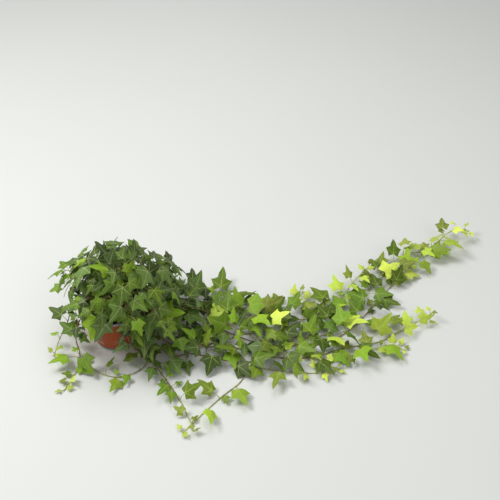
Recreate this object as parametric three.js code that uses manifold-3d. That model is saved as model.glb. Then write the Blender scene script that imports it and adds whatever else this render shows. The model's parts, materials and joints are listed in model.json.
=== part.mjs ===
// A potted trailing ivy: a thin plastic pot with a printed wrap and a label, potting soil, and rooted
// vines. Each vine's stem, leaf stalks and leaf blades grew as one piece.
// Millimetres, +Z up. The origin is the centre of the pot's underside, -Y is the front and +X is the
// side that most runners trail towards.

import * as THREE from "three";
import { mergeVertices } from "three/addons/utils/BufferGeometryUtils.js";
import Module from "manifold-3d";

const wasm = await Module();
wasm.setup();

// ---------------------------------------------------------------- driving dimensions

const touchGap = 0.3; // left between pieces that touch

const potHeight = 92;
const rimRadius = 60; // outside of the rolled rim
const baseRadius = 40;
const potWall = 1;
const potFloor = 1.4;
const rimHeight = 4;
const rimOverhang = 2.4; // how far the rim stands out from the wall
const drainHoleRadius = 3.5;
const drainHoleCount = 8;
const drainHoleInset = 10; // from the edge of the underside to the middle of a hole

const wrapThickness = 0.5;
const wrapFoot = 6; // bare pot below the wrap
const wrapSeam = 9; // width of bare pot between the wrap's two ends, at the back
const labelWidth = 25;
const labelHeight = 27;
const labelDrop = 32; // from the rim's top to the label's top edge
const labelTurn = THREE.MathUtils.degToRad(-128); // where the label faces, seen from above
const labelMargin = 0.6; // between the label and its window in the wrap

const soilBelowRim = 11; // from the rim's top to the soil's edge
const soilDome = 5; // how much higher the soil is in the middle
const soilGap = 0.4; // between the soil and the pot

const stemRadius = 1.3; // to the corners of its square section
const stemSpacing = 2 * stemRadius + 1.2; // kept between the middles of two stems
const liftStep = 1.5; // how far a stem's point moves at a time to clear another stem
const stalkWidth = 1.3; // a leaf stalk's width and depth where it meets the blade
const stalkDepth = 1.1;
const stalkTaper = 0.6; // its size at the stem, as a share of that
const bladeThickness = 1;
const clearance = 3.3; // kept between a leaf and whatever grows beside it
const sampleStep = 2; // spacing of the points that stand for a leaf or a stem in that test
const holderClearance = 2; // kept between a leaf and the pot or the soil
const floorClearance = 1.6; // kept between a leaf and the ground

const rootLift = 0.6; // from the soil to the middle of a stem's lower end
const rootCircle = 0.8; // runners root at this share of the soil's radius
const shootDisc = 0.7; // and the crown's shoots inside this share
const shootCount = 30;
const goldenAngle = Math.PI * (3 - Math.sqrt(5));

const lathePieces = 36;
const soilRings = 3;
const up = new THREE.Vector3(0, 0, 1);

// ---------------------------------------------------------------- small helpers

const mix = THREE.MathUtils.lerp;
const clamp = THREE.MathUtils.clamp;
const vec = (x, y, z) => new THREE.Vector3(x, y, z);
const polar = (radius, turn, z) => vec(radius * Math.cos(turn), radius * Math.sin(turn), z);

// A repeatable random number from -1 to 1, one stream for each seed.
function randomStream(seed) {
  let state = (seed * 2654435761) >>> 0;
  return () => {
    state = (state + 0x6d2b79f5) >>> 0;
    let t = Math.imul(state ^ (state >>> 15), 1 | state);
    t = (t + Math.imul(t ^ (t >>> 7), 61 | t)) ^ t;
    return (((t ^ (t >>> 14)) >>> 0) / 2147483648) - 1;
  };
}

// The solid that a closed three.js geometry bounds.
function solidOf(geometry) {
  const bare = new THREE.BufferGeometry();
  bare.setAttribute("position", geometry.getAttribute("position").clone());
  if (geometry.index) bare.setIndex(geometry.index.clone());
  const merged = mergeVertices(bare, 1e-3);
  const corners = merged.index.array;
  const triVerts = [];
  for (let i = 0; i < corners.length; i += 3) {
    const [a, b, c] = [corners[i], corners[i + 1], corners[i + 2]];
    if (a !== b && b !== c && c !== a) triVerts.push(a, b, c);
  }
  return new wasm.Manifold(
    new wasm.Mesh({
      numProp: 3,
      vertProperties: new Float32Array(merged.getAttribute("position").array),
      triVerts: new Uint32Array(triVerts),
    }),
  );
}

// A three.js geometry of a solid's surface.
function geometryOf(solid) {
  const mesh = solid.getMesh();
  return new THREE.BufferGeometry()
    .setAttribute("position", new THREE.BufferAttribute(mesh.vertProperties, mesh.numProp))
    .setIndex(new THREE.BufferAttribute(mesh.triVerts, 1));
}

// A profile of [radius, height] points turned about +Z.
function turned(profile, pieces = lathePieces) {
  const points = profile.map(([r, z]) => new THREE.Vector2(r, z));
  return new THREE.LatheGeometry(points, pieces).rotateX(Math.PI / 2);
}

// A box that reaches outwards from the axis, facing the direction turn.
function radialBox(turn, width, length, low, high) {
  return new THREE.BoxGeometry(length, width, high - low)
    .translate(length / 2, 0, (low + high) / 2)
    .rotateZ(turn);
}

// ---------------------------------------------------------------- pot, wrap, label and soil

const wallTopRadius = rimRadius - rimOverhang;
const wallSlope = (wallTopRadius - baseRadius) / potHeight;
const outsideAt = (z) => baseRadius + wallSlope * z;
const insideAt = (z) => outsideAt(z) - potWall;

const soilEdgeHeight = potHeight - soilBelowRim;
const soilRadius = insideAt(soilEdgeHeight) - soilGap;
const soilHeightAt = (radius) => soilEdgeHeight + soilDome * (1 - Math.min(1, radius / soilRadius) ** 2);

function potSolid() {
  const lipInside = wallTopRadius - potWall;
  const shell = solidOf(
    turned([
      [0, 0],
      [baseRadius, 0],
      [outsideAt(potHeight - rimHeight), potHeight - rimHeight],
      [rimRadius - 0.4, potHeight - rimHeight],
      [rimRadius, potHeight - rimHeight + 1],
      [rimRadius, potHeight - 1],
      [rimRadius - 0.8, potHeight],
      [lipInside, potHeight],
      [insideAt(potFloor), potFloor],
      [0, potFloor],
    ]),
  );
  let pot = shell;
  for (let i = 0; i < drainHoleCount; i++) {
    const centre = polar(baseRadius - drainHoleInset, (2 * Math.PI * i) / drainHoleCount, potFloor / 2);
    const drill = new THREE.CylinderGeometry(drainHoleRadius, drainHoleRadius, 4 * potFloor, 12)
      .rotateX(Math.PI / 2)
      .translate(centre.x, centre.y, centre.z);
    pot = pot.subtract(solidOf(drill));
  }
  return pot;
}

// A conical skin that lies round the pot's wall from height low to height high.
function skinSolid(low, high) {
  const inner = (z) => outsideAt(z) + touchGap;
  const outer = (z) => inner(z) + wrapThickness;
  return solidOf(
    turned([
      [outer(low), low],
      [outer(high), high],
      [inner(high), high],
      [inner(low), low],
      [outer(low), low],
    ]),
  );
}

const labelTop = potHeight - labelDrop;
const labelLow = labelTop - labelHeight;

function wrapSolid() {
  const high = potHeight - rimHeight - touchGap;
  const seam = solidOf(radialBox(Math.PI / 2, wrapSeam, 2 * rimRadius, 0, potHeight));
  const window = solidOf(
    radialBox(labelTurn, labelWidth, 2 * rimRadius, labelLow - labelMargin, labelTop + labelMargin),
  );
  return skinSolid(wrapFoot, high).subtract(seam).subtract(window);
}

function labelSolid() {
  const frame = solidOf(radialBox(labelTurn, labelWidth - 2 * labelMargin, 2 * rimRadius, 0, potHeight));
  return skinSolid(labelLow, labelTop).intersect(frame);
}

function soilSolid() {
  const low = potFloor + soilGap;
  const top = [];
  for (let i = 0; i <= soilRings; i++) {
    const radius = soilRadius * (1 - i / soilRings);
    top.push([radius, soilHeightAt(radius)]);
  }
  return solidOf(turned([[0, low], [insideAt(low) - soilGap, low], ...top], 24));
}

// ---------------------------------------------------------------- where there is room

// Points of everything that has grown so far, each with its vine's name, in cells as wide as the
// clearance.
const cells = new Map();
const cellOf = (p) => [p.x, p.y, p.z].map((v) => Math.floor(v / clearance));

function occupy(points, vineName) {
  for (const point of points) {
    const key = cellOf(point).join();
    if (!cells.has(key)) cells.set(key, []);
    cells.get(key).push({ point, vineName });
  }
}

// True where something that has grown is within reach of a point. One vine can be left out of the search.
function isTaken(p, reach, exceptVine) {
  const [cx, cy, cz] = cellOf(p);
  const far = Math.ceil(reach / clearance);
  for (let x = cx - far; x <= cx + far; x++)
    for (let y = cy - far; y <= cy + far; y++)
      for (let z = cz - far; z <= cz + far; z++)
        for (const { point, vineName } of cells.get([x, y, z].join()) ?? [])
          if (vineName !== exceptVine && point.distanceTo(p) < reach) return true;
  return false;
}

// True where a point would be in the ground, the pot or the soil, or too near them.
function insideHolder(p) {
  if (p.z < floorClearance) return true;
  const radius = Math.hypot(p.x, p.y);
  if (p.z > potHeight + holderClearance) return false;
  if (p.z > potHeight - rimHeight - holderClearance)
    return radius < rimRadius + holderClearance && radius > insideAt(p.z) - holderClearance;
  if (radius > outsideAt(p.z) + wrapThickness + holderClearance) return false;
  return radius > insideAt(p.z) - holderClearance || p.z < soilHeightAt(radius) + holderClearance;
}

// Points along a straight line.
function linePoints(start, end) {
  const count = Math.ceil(start.distanceTo(end) / sampleStep);
  return Array.from({ length: count + 1 }, (_, i) => start.clone().lerp(end, i / count));
}

// ---------------------------------------------------------------- leaves

// A blade's half outline, as shares of its length: [out from the midrib, along it]. It goes from the
// lobe beside the stalk to the side lobe's tip and the notch before the middle lobe.
const halfOutline = [
  [0.31, -0.16],
  [0.56, 0.3],
  [0.2, 0.42],
];
const bladeCentre = 0.3; // share of the blade's length where its highest point is

// A point of a leaf's blade. The leaf has its base, where the stalk meets the blade, its foot, where the
// stalk meets the stem, and the blade's own axes along, side and normal; droop and fold bend it.
function bladePoint(leaf, x, y) {
  const sag = -leaf.droop * y * y - leaf.fold * Math.abs(x);
  return leaf.base
    .clone()
    .addScaledVector(leaf.side, x * leaf.breadth * leaf.length)
    .addScaledVector(leaf.along, y * leaf.length)
    .addScaledVector(leaf.normal, sag * leaf.length);
}

// The blade's edge from the right of the stalk, round the tip, to the left of the stalk.
function bladeEdge(leaf) {
  const right = halfOutline.map(([x, y]) => bladePoint(leaf, x, y));
  const left = halfOutline.map(([x, y]) => bladePoint(leaf, -x, y)).reverse();
  const half = leaf.side.clone().multiplyScalar(stalkWidth / 2);
  const [start, end] = [leaf.base.clone().add(half), leaf.base.clone().sub(half)];
  return [start, ...right, bladePoint(leaf, 0, 1), ...left, end];
}

// Points that stand for the blade when looking for room.
function bladeSamples(leaf) {
  const edge = bladeEdge(leaf);
  const centre = bladePoint(leaf, 0, bladeCentre);
  const samples = [];
  for (let i = 0; i < edge.length; i++) {
    const [a, b] = [edge[i], edge[(i + 1) % edge.length]];
    const widest = Math.max(centre.distanceTo(a), centre.distanceTo(b), a.distanceTo(b));
    const steps = Math.ceil(widest / sampleStep);
    for (let m = 1; m <= steps; m++)
      for (let n = 0; n < m; n++) samples.push(centre.clone().lerp(a.clone().lerp(b, n / m), m / steps));
  }
  return samples;
}

// Takes the leaf's room if it is free. A stalk's first stretch is beside its own stem, so it only has to
// miss the other vines.
function takesRoom(leaf, vineName) {
  const blade = bladeSamples(leaf);
  const stalk = linePoints(leaf.foot, leaf.base);
  const isNearStem = (p) => p.distanceTo(leaf.foot) < stemRadius + clearance;
  const inTheOpen = [...blade, ...stalk.filter((p) => !isNearStem(p))];
  if (inTheOpen.some((p) => insideHolder(p) || isTaken(p, clearance))) return false;
  if (stalk.filter(isNearStem).some((p) => isTaken(p, clearance, vineName))) return false;
  occupy([...blade, ...stalk], vineName);
  return true;
}

// The closed solid of a leaf: two shallow fans over the blade's edge, and a three-sided stalk.
function leafSolid(leaf) {
  const edge = bladeEdge(leaf);
  const middle = bladePoint(leaf, 0, bladeCentre);
  const lift = leaf.normal.clone().multiplyScalar(bladeThickness / 2);
  const stalkWay = leaf.base.clone().sub(leaf.foot).normalize();
  const under = stalkWay.clone().cross(leaf.side).normalize().multiplyScalar(stalkDepth);
  const half = leaf.side.clone().multiplyScalar(stalkWidth / 2);
  const keel = leaf.base.clone().add(under).addScaledVector(leaf.normal, -0.3);
  half.multiplyScalar(stalkTaper);
  under.multiplyScalar(stalkTaper);
  const points = [middle.clone().add(lift), middle.clone().sub(lift), ...edge, keel];
  points.push(leaf.foot.clone().add(half), leaf.foot.clone().sub(half), leaf.foot.clone().add(under));
  const [top, bottom, first] = [0, 1, 2];
  const last = first + edge.length - 1;
  const [keelCorner, footRight, footLeft, footKeel] = [last + 1, last + 2, last + 3, last + 4];
  const faces = [
    [top, last, first],
    [bottom, keelCorner, last],
    [bottom, first, keelCorner],
    [footLeft, footRight, first],
    [footLeft, first, last],
    [first, footRight, footKeel],
    [first, footKeel, keelCorner],
    [footLeft, last, keelCorner],
    [footLeft, keelCorner, footKeel],
    [footRight, footLeft, footKeel],
  ];
  for (let i = first; i < last; i++) faces.push([top, i, i + 1], [bottom, i + 1, i]);
  const geometry = new THREE.BufferGeometry().setFromPoints(points).setIndex(faces.flat());
  return solidOf(geometry);
}

// ---------------------------------------------------------------- stems

// A stem's solid: a square section carried along its curve.
function stemSolid({ curve, steps }) {
  const r = stemRadius;
  const section = new THREE.Shape([
    new THREE.Vector2(r, 0),
    new THREE.Vector2(0, r),
    new THREE.Vector2(-r, 0),
    new THREE.Vector2(0, -r),
  ]);
  return solidOf(new THREE.ExtrudeGeometry(section, { steps, extrudePath: curve }));
}

// The point at a share of the way along a stem's middle line, and the direction the line takes there.
function stemNode(middleLine, share) {
  const at = share * (middleLine.length - 1);
  const i = Math.min(Math.floor(at), middleLine.length - 2);
  const [a, b] = [middleLine[i], middleLine[i + 1]];
  return { point: a.clone().lerp(b, at - i), tangent: b.clone().sub(a).normalize() };
}

// Lays a vine's stem through its points. Where it would run into the ground or through a stem that is
// already there, the nearest of its points is lifted and moved aside a little.
function laidStem({ name, points, step }) {
  const mostLifts = 200;
  for (let lifts = 0; lifts < mostLifts; lifts++) {
    const curve = new THREE.CatmullRomCurve3(points, false, "centripetal");
    const length = curve.getLength();
    const steps = Math.max(3, Math.round(length / step));
    const middleLine = curve.getSpacedPoints(steps);
    const samples = middleLine.slice(1).flatMap((end, i) => linePoints(middleLine[i], end));
    const blocked = samples.find((p) => p.z < stemRadius || isTaken(p, stemSpacing));
    if (!blocked) {
      occupy(samples, name);
      return { curve, length, steps, middleLine };
    }
    const isNearer = (a, b) => a.distanceTo(blocked) < b.distanceTo(blocked);
    const nearest = points.slice(1).reduce((a, b) => (isNearer(b, a) ? b : a));
    nearest.z += liftStep;
    nearest.x += liftStep / 4;
  }
  throw new Error(`${name} found no way past its neighbours`);
}

// ---------------------------------------------------------------- growth

// How leaves stand. The stalk's direction is the sum of these shares of four directions.
const stalkSideways = 0.75;
const stalkOutwards = 0.45;
const stalkForwards = 0.3;
const stalkLengthSpread = 0.25;
const frontwards = 0.2; // how much blades turn to the front
const blade = {
  breadth: 0.88,
  breadthSpread: 0.14,
  droop: 0.18,
  droopSpread: 0.13,
  fold: 0.1,
  foldSpread: 0.14,
};
const sizeSpread = 0.12;
const shrinks = [1, 0.85, 0.7, 0.55]; // sizes tried where a leaf finds no room
const posesTried = 24; // at each size
const wildness = { first: 0.4, step: 0.04 }; // how far poses stray, and how much further each time

// Tries poses for one leaf until one has room, and then smaller leaves. Returns null where there is none.
function grownLeaf(vine, node, side, size, random) {
  const outward = vec(node.point.x, node.point.y, 0).normalize();
  const sideways = up.clone().cross(node.tangent);
  if (sideways.length() < 0.3) sideways.copy(up.clone().cross(outward));
  sideways.normalize().multiplyScalar(side);
  const stray = (amount) => vec(random(), random(), random()).multiplyScalar(amount);
  for (const shrink of shrinks) {
    for (let i = 0; i < posesTried; i++) {
      const wild = wildness.first + wildness.step * i;
      const length = size * shrink * (1 + sizeSpread * random());
      const stalkWay = sideways
        .clone()
        .multiplyScalar(stalkSideways)
        .addScaledVector(outward, stalkOutwards * vine.outwards)
        .addScaledVector(up, vine.lift)
        .addScaledVector(node.tangent, stalkForwards)
        .add(stray(wild))
        .normalize();
      const normal = up
        .clone()
        .addScaledVector(outward, vine.facing)
        .addScaledVector(vec(0, -1, 0), frontwards)
        .add(stray(0.4 + wild / 2))
        .normalize();
      const lean = stalkWay.clone().add(stray(wild / 2)).addScaledVector(up, -0.3);
      const along = lean.addScaledVector(normal, -lean.dot(normal)).normalize();
      const stalkLength = length * (vine.stalk + stalkLengthSpread * random());
      const leaf = {
        foot: node.point,
        base: node.point.clone().addScaledVector(stalkWay, stalkLength),
        along,
        normal,
        side: along.clone().cross(normal),
        length,
        breadth: blade.breadth + blade.breadthSpread * random(),
        droop: blade.droop + blade.droopSpread * random(),
        fold: blade.fold + blade.foldSpread * random(),
      };
      if (takesRoom(leaf, vine.name)) return leaf;
    }
  }
  return null;
}

// Grows leaves along one stem, on alternate sides, smaller towards the growing tip, which ends in one.
function leavesAlong(vine, { length, middleLine }, seed) {
  const random = randomStream(seed);
  const last = length - stemRadius;
  const leaves = [];
  let side = seed % 2 ? 1 : -1;
  let s = vine.bare;
  while (s < length) {
    const toTip = (length - s) / vine.blade;
    const grown = clamp(vine.tipShare + 0.28 * toTip, 0, 1) * (1 + sizeSpread * random());
    const leaf = grownLeaf(vine, stemNode(middleLine, s / length), side, vine.blade * grown, random);
    if (leaf) leaves.push(leaf);
    side = -side;
    const step = vine.spacing * clamp(grown, 0.5, 1) * (1 + 0.2 * random());
    s = s < last ? Math.min(s + step, last) : length;
  }
  return leaves;
}

// ---------------------------------------------------------------- plans of the vines

// A runner climbs out of the soil, goes over the rim at the bearing turn (degrees from +X towards +Y),
// drops to the ground and trails through its points: [x, y, height of the stem's underside].
const plannedRim = 60; // the trails were laid round a rim of this radius
const runnerPlans = [
  // the bundle that trails to the right, from the longest runner to the shortest
  {
    turn: 8,
    trail: [
      [175, 22, 20], [235, -2, 7], [300, -28, 4], [372, -30, 1.5], [436, -20, 1], [492, 22, 1],
      [545, 92, 1], [590, 150, 1.5], [640, 208, 4], [695, 262, 14], [742, 298, 26], [782, 306, 18],
    ],
  },
  {
    turn: 20,
    trail: [
      [160, 58, 26], [225, 38, 18], [292, 22, 6], [360, -8, 2], [430, -2, 2], [480, 52, 1],
      [528, 120, 2], [575, 185, 6], [632, 232, 16], [690, 248, 2], [722, 262, 1.5],
    ],
  },
  {
    turn: -4,
    trail: [
      [172, -4, 7], [240, -34, 2], [320, -60, 0.5], [395, -62, 0.5], [470, -36, 0.5],
      [535, -22, 0.5], [585, 8, 1], [625, 30, 6], [655, 42, 22],
    ],
  },
  {
    turn: -14,
    trail: [
      [150, -26, 4], [205, -30, 1.5], [262, -8, 1], [325, -6, 1], [395, -48, 1.5], [455, -62, 0.5],
      [520, -44, 1], [562, -30, 4], [590, -44, 1],
    ],
  },
  {
    turn: 34,
    trail: [
      [150, 88, 14], [215, 72, 4], [285, 52, 1.5], [355, 40, 1.5], [420, 48, 4], [470, 98, 6],
      [506, 150, 14], [536, 172, 30],
    ],
  },
  {
    turn: 48,
    trail: [
      [118, 118, 6], [180, 112, 1.5], [245, 80, 1], [310, 18, 7], [365, -30, 14], [420, -75, 2],
      [452, -92, 0.5],
    ],
  },
  {
    turn: -26,
    trail: [
      [140, -48, 2], [205, -62, 0.5], [275, -84, 0.5], [345, -98, 0.5], [410, -102, 1],
      [440, -96, 6],
    ],
  },
  {
    turn: -38,
    trail: [
      [128, -62, 4], [180, -40, 18], [240, 14, 22], [300, 50, 7], [362, 86, 1.5], [392, 118, 7],
    ],
  },
  {
    turn: 14,
    trail: [[165, 34, 45], [215, 10, 34], [268, -20, 26], [322, -48, 20], [372, -80, 6]],
  },
  // in front
  {
    turn: -32,
    style: { blade: 36, spacing: 44, bare: 90 },
    trail: [
      [150, -52, 14], [205, -40, 7], [258, -62, 6], [264, -112, 1], [222, -160, 0.5],
      [182, -206, 0.5], [152, -244, 1],
    ],
  },
  {
    turn: -60,
    style: { blade: 36, spacing: 34 },
    trail: [[88, -88, 2], [118, -130, 0.5], [150, -185, 0.5], [172, -246, 1]],
  },
  {
    turn: -48,
    style: { blade: 32, spacing: 34 },
    trail: [[74, -72, 4], [52, -100, 0.5], [14, -112, 0.5], [-22, -100, 0.5], [-48, -76, 0.5]],
  },
  // to the left
  {
    turn: -138,
    style: { blade: 34 },
    trail: [[-62, -66, 4], [-68, -104, 0.5], [-84, -146, 0.5]],
  },
  {
    turn: 178,
    style: { blade: 36 },
    trail: [[-88, -8, 56], [-106, -34, 26], [-116, -62, 4]],
  },
];

const runnerStyle = {
  blade: 40, // the length of a grown leaf's blade
  tipShare: 0.3, // the last leaf's size, as a share of that
  spacing: 25, // along the stem from one grown leaf to the next
  bare: 62, // stem without leaves, from the root
  stalk: 0.62, // a stalk's length, as a share of its blade's
  lift: 0.62, // how much stalks point up
  outwards: 0, // and away from the pot
  facing: 0, // how much blades face away from the pot
  step: 26, // length of one straight piece of stem
};
const rise = { lean: 3, aboveRim: 4 }; // a runner's way over the rim: up from its root,
const crossing = { beyondRim: 5, aboveRim: 13 }; // over the rim
const drop = { beyondRim: 28, height: 0.66 * potHeight }; // and down outside it
const hangStep = 8; // every other runner crosses the rim this much higher

function runnerVine(plan, index) {
  const turn = THREE.MathUtils.degToRad(plan.turn);
  const rootRadius = soilRadius * rootCircle;
  const hang = index % 2 ? hangStep : 0;
  const climb = [
    polar(rootRadius, turn, soilHeightAt(rootRadius) + rootLift),
    polar(rootRadius + rise.lean, turn, potHeight + rise.aboveRim + hang / 2),
    polar(rimRadius + crossing.beyondRim, turn, potHeight + crossing.aboveRim + hang),
    polar(rimRadius + drop.beyondRim, turn, drop.height + hang),
  ];
  const trail = plan.trail.map(([x, y, height]) => {
    const outward = vec(x, y, 0).normalize().multiplyScalar(rimRadius - plannedRim);
    return vec(x, y, height + stemRadius).add(outward);
  });
  const name = `runner_${String(index + 1).padStart(2, "0")}`;
  return { ...runnerStyle, ...plan.style, name, points: [...climb, ...trail] };
}

const shootStyle = {
  blade: 43,
  tipShare: 0.55,
  spacing: 12.4,
  bare: 22,
  stalk: 0.85,
  lift: 0.6,
  facing: 0.85,
  step: 17,
};

const shortSide = THREE.MathUtils.degToRad(-125); // the crown is short here and shows the pot

// A crown shoot rises from the soil and arches outwards. Shares near 0 are upright shoots in the middle,
// and shares near 1 the outer ones, which reach further and hang lower.
function shootVine(index) {
  const share = (index + 0.5) / shootCount;
  const turn = index * goldenAngle;
  const sway = 0.35 * Math.sin(index * 2.4);
  const rootRadius = soilRadius * shootDisc * Math.sqrt(share);
  const shortened = Math.max(0, Math.cos(turn - shortSide));
  const lengthened = Math.max(0, Math.cos(turn));
  const reach = mix(40, 118, share) * (1 - 0.5 * shortened + 0.2 * lengthened);
  const peak = mix(104, 62, share); // above the soil, as is its end
  const end = mix(84, 14, share) + 62 * shortened * share;
  const soil = soilHeightAt(rootRadius);
  const points = [
    polar(rootRadius, turn, soil + rootLift),
    polar(mix(rootRadius, reach, 0.12), turn, soil + 0.55 * peak),
    polar(mix(rootRadius, reach, 0.4), turn + 0.35 * sway, soil + peak),
    polar(mix(rootRadius, reach, 0.75), turn + 0.7 * sway, soil + mix(peak, end, 0.35)),
    polar(reach, turn + sway, soil + end),
  ];
  const name = `shoot_${String(index + 1).padStart(2, "0")}`;
  return { ...shootStyle, outwards: mix(0.3, 1.7, share), name, points };
}

const vines = [
  ...runnerPlans.map(runnerVine),
  ...Array.from({ length: shootCount }, (_, index) => shootVine(index)),
];

// ---------------------------------------------------------------- assembly

const colours = {
  pot: { color: 0xaeb4b8, roughness: 0.45 },
  wrap: { color: 0x9a4522, roughness: 0.5 },
  label: { color: 0x8d9396, roughness: 0.5 },
  soil: { color: 0x3a2418, roughness: 1 },
  runner: { color: 0x6fae2c, roughness: 0.5 },
  shoot: { color: 0x3f6b33, roughness: 0.5 },
};

const plant = new THREE.Group();

function addPiece(name, solid, colour) {
  const material = new THREE.MeshStandardMaterial({ metalness: 0, ...colours[colour] });
  const mesh = new THREE.Mesh(geometryOf(solid), material);
  mesh.name = name;
  plant.add(mesh);
}

addPiece("pot", potSolid(), "pot");
addPiece("pot_wrap", wrapSolid(), "wrap");
addPiece("pot_label", labelSolid(), "label");
addPiece("soil", soilSolid(), "soil");

// Every stem is laid before the first leaf, so that no leaf is in a stem's way.
const stems = vines.map(laidStem);
vines.forEach((vine, index) => {
  const leaves = leavesAlong(vine, stems[index], index + 1);
  const solid = wasm.Manifold.union([stemSolid(stems[index]), ...leaves.map(leafSolid)]);
  addPiece(vine.name, solid, vine.name.split("_")[0]);
});

export default plant;
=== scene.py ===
import json
import math

import bpy
import numpy as np
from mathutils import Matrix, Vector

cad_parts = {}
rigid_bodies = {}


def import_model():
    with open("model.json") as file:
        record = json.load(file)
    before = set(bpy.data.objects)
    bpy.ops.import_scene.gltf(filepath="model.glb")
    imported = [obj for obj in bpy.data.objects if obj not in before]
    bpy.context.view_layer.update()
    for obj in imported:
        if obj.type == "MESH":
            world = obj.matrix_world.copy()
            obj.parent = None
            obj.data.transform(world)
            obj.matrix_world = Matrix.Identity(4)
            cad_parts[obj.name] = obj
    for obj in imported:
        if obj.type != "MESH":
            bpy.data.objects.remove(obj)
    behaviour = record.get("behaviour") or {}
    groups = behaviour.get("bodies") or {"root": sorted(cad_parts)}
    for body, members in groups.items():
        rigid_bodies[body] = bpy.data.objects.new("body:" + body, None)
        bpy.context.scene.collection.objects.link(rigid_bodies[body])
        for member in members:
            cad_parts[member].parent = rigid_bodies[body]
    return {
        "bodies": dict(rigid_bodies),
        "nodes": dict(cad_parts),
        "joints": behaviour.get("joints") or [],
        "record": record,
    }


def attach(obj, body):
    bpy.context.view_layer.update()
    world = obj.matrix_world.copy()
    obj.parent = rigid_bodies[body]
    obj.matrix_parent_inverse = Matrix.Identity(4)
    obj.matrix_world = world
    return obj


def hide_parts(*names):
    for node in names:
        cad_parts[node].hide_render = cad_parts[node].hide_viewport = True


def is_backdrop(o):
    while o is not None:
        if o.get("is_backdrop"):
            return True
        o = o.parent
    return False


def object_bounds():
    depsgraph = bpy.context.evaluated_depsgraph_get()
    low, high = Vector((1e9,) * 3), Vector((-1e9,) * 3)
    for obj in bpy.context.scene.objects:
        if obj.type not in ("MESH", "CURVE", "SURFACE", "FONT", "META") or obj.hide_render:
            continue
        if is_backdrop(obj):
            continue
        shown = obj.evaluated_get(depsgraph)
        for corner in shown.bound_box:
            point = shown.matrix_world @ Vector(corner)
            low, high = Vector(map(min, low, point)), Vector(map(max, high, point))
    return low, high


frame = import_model()
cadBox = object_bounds()
nodes = frame["nodes"]
vineNames = sorted(name for name in nodes if name.startswith(("runner_", "shoot_")))
mm = 0.001
join = np.concatenate
space = bpy.context.scene
print("frame loaded:", len(nodes), "CAD nodes,", len(vineNames), "of them vines")


def unit(vectors):
    return vectors / np.linalg.norm(vectors, axis=-1, keepdims=True)


# Arrays side by side as the last axis of one, each spread out to the shape they share.
def stack(*parts):
    return np.stack(np.broadcast_arrays(*parts), -1)


# Quads of a grid of points stored row by row; with closed, its last column joins its first.
def gridQuads(rows, columns, closed=True):
    row = np.arange(rows - 1)[:, None] * columns
    column = np.arange(columns if closed else columns - 1)[None, :]
    after = (column + 1) % columns
    corners = [row + column, row + after, row + after + columns, row + column + columns]
    return stack(*corners).reshape(-1, 4)


# Vectors a made square to unit vectors b, and 1 long: a - (a . b) b.
def squareTo(a, b):
    return unit(a - (a * b).sum(-1, keepdims=True) * b)


# Points turned about z: (x cos t - y sin t, x sin t + y cos t).
def spun(x, y, t):
    return x * np.cos(t) - y * np.sin(t), x * np.sin(t) + y * np.cos(t)


# Triangles from one point to a ring of points; with facing -1 the fan faces the other way.
def fan(centre, ring, facing=1):
    ring = ring[::facing]
    return stack(centre, ring, np.roll(ring, -1))


# The point that each corner of each face is at.
def cornerIndex(mesh):
    index = np.empty(len(mesh.loops), np.int32)
    mesh.loops.foreach_get("vertex_index", index)
    return index


def addUvMap(mesh, name, uvOfPoint):
    layer = mesh.uv_layers.new(name=name)
    layer.data.foreach_set("uv", uvOfPoint[cornerIndex(mesh)].astype(np.float32).ravel())


def addTone(mesh, name, toneOfPoint):
    tone = mesh.attributes.new(name, "FLOAT_COLOR", "POINT")
    filled = np.ones((len(toneOfPoint), 4), np.float32)
    filled[:, : toneOfPoint.shape[1]] = toneOfPoint
    tone.data.foreach_set("color", filled.ravel())


# Blocks of faces repeated for copies whose points follow each other: face + copy * each.
def repeated(blocks, copies, each):
    shift = each * np.arange(copies)[:, None, None]
    return [(block[None] + shift).reshape(-1, block.shape[1]) for block in blocks]


def addToScene(name, data):
    made = bpy.data.objects.new(name, data)
    space.collection.objects.link(made)
    return made


# An object of points and blocks of faces, each block with a row for each face.
def makeObject(name, points, blocks, materials, slotOfBlock=None):
    mesh = bpy.data.meshes.new(name)
    mesh.from_pydata(points.tolist(), [], [face for block in blocks for face in block.tolist()])
    for material in materials:
        mesh.materials.append(material)
    if slotOfBlock:
        index = np.repeat(slotOfBlock, [len(block) for block in blocks])
        mesh.polygons.foreach_set("material_index", index.astype(np.int32))
    mesh.polygons.foreach_set("use_smooth", np.ones(len(mesh.polygons), bool))
    return addToScene(name, mesh)


# A piece rides on the one body and stands for its CAD node.
def standsFor(piece, node, slotName):
    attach(piece, "root")
    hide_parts(node)


# Rolling lumps, from -1 to 1: the mean of sin(reach pitch + start) over waves in seeded directions.
def lumps(x, y, size, seed, count=14):
    chance = np.random.default_rng(seed)
    turn = chance.uniform(0, 2 * math.pi, count)
    start = chance.uniform(0, 2 * math.pi, count)
    pitch = 2 * math.pi / (size * chance.uniform(0.6, 1.6, count))
    reach = np.multiply.outer(x, np.cos(turn)) + np.multiply.outer(y, np.sin(turn))
    return np.sin(reach * pitch + start).sum(-1) / count


def screenColour(red, green, blue):
    screen = np.array([red, green, blue]) / 255
    linear = np.where(screen <= 0.04045, screen / 12.92, ((screen + 0.055) / 1.055) ** 2.4)
    return (*linear.tolist(), 1.0)


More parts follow.
